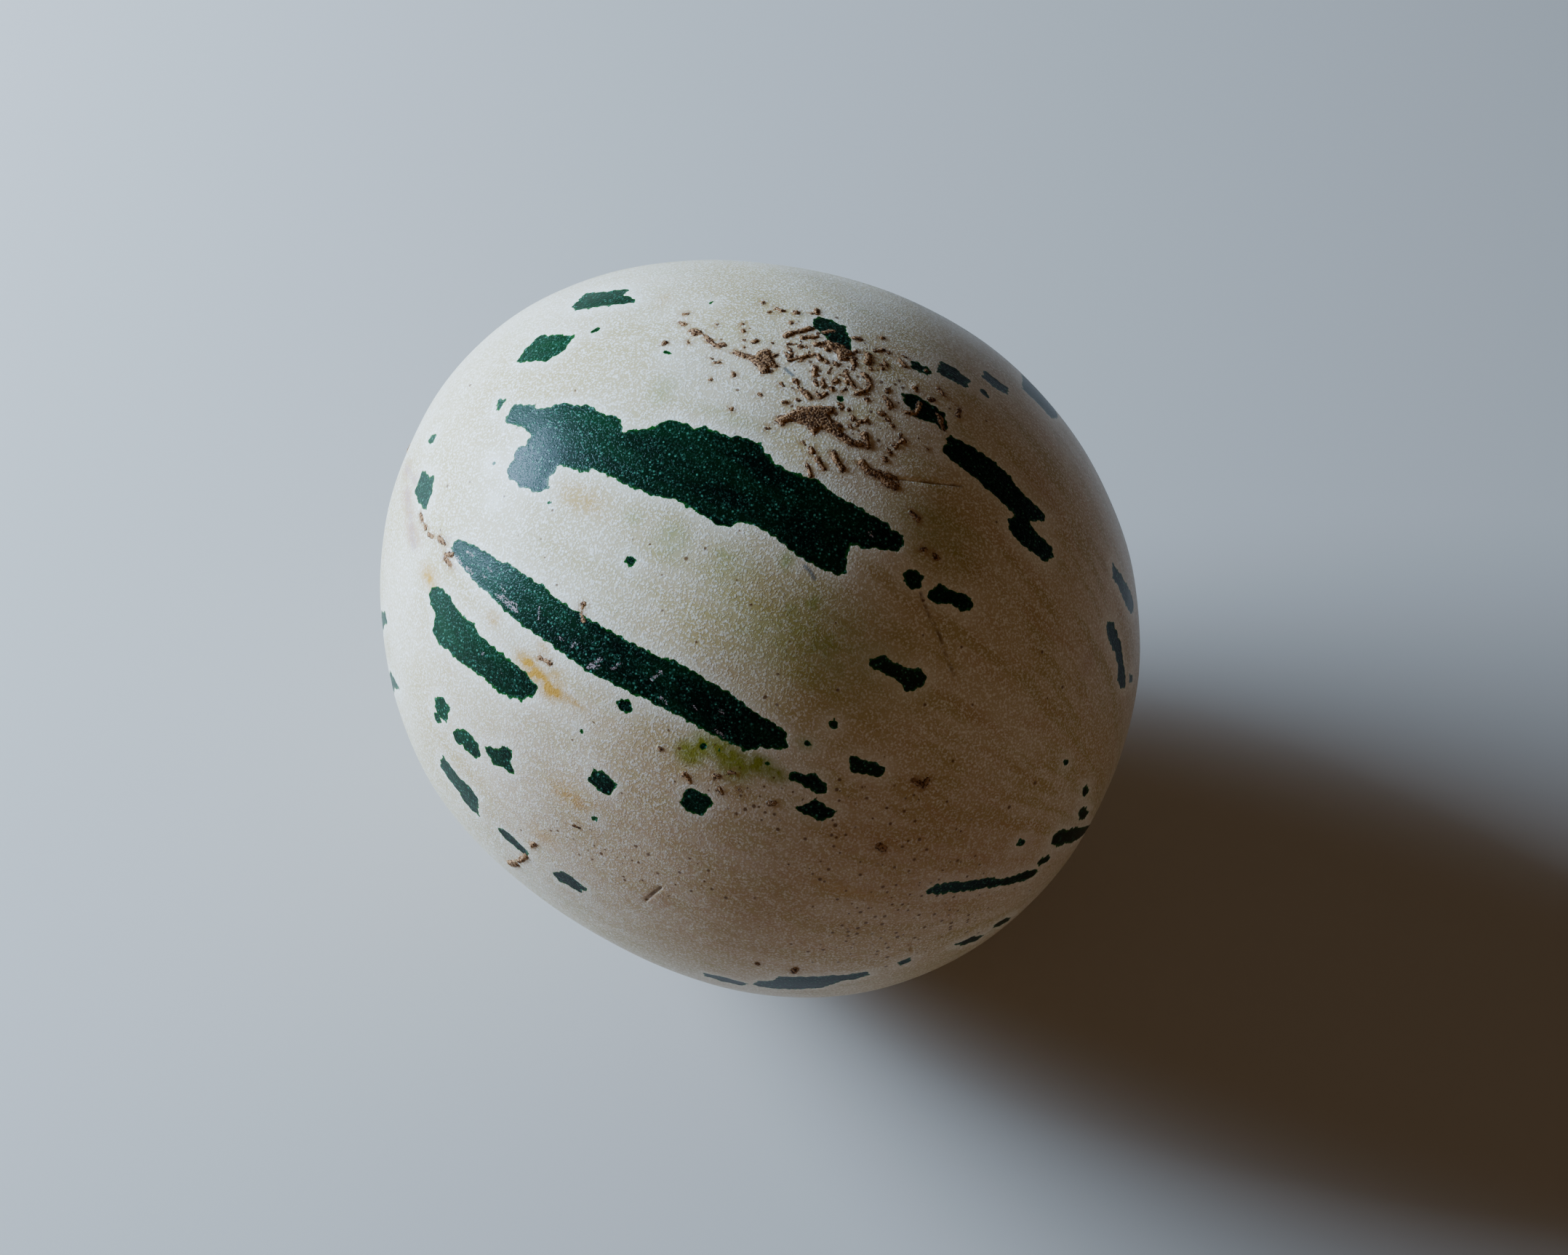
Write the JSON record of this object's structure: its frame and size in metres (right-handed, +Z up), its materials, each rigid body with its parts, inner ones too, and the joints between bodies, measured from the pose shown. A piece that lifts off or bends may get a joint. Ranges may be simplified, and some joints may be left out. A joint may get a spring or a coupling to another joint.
{
  "type": "melon",
  "caption": "Small white-skinned melon with dark green flecks, a little longer than wide, lying on a small flat spot.",
  "frame": {"origin": "on the surface that the melon rests on, under the middle of its outline", "axes": "+Z up; +X along the level direction of the core, from the stem end towards the blossom end, which points 13 degrees down; +Y towards the fuller side"},
  "size_m": [0.1466, 0.1338, 0.1341],
  "materials": {
    "rind": "waxy ivory rind with blocky dark green flecks, fine pale dots and brown corky scabs"
  },
  "bodies": {
    "root": {"melon": "rind"}
  },
  "joints": []
}
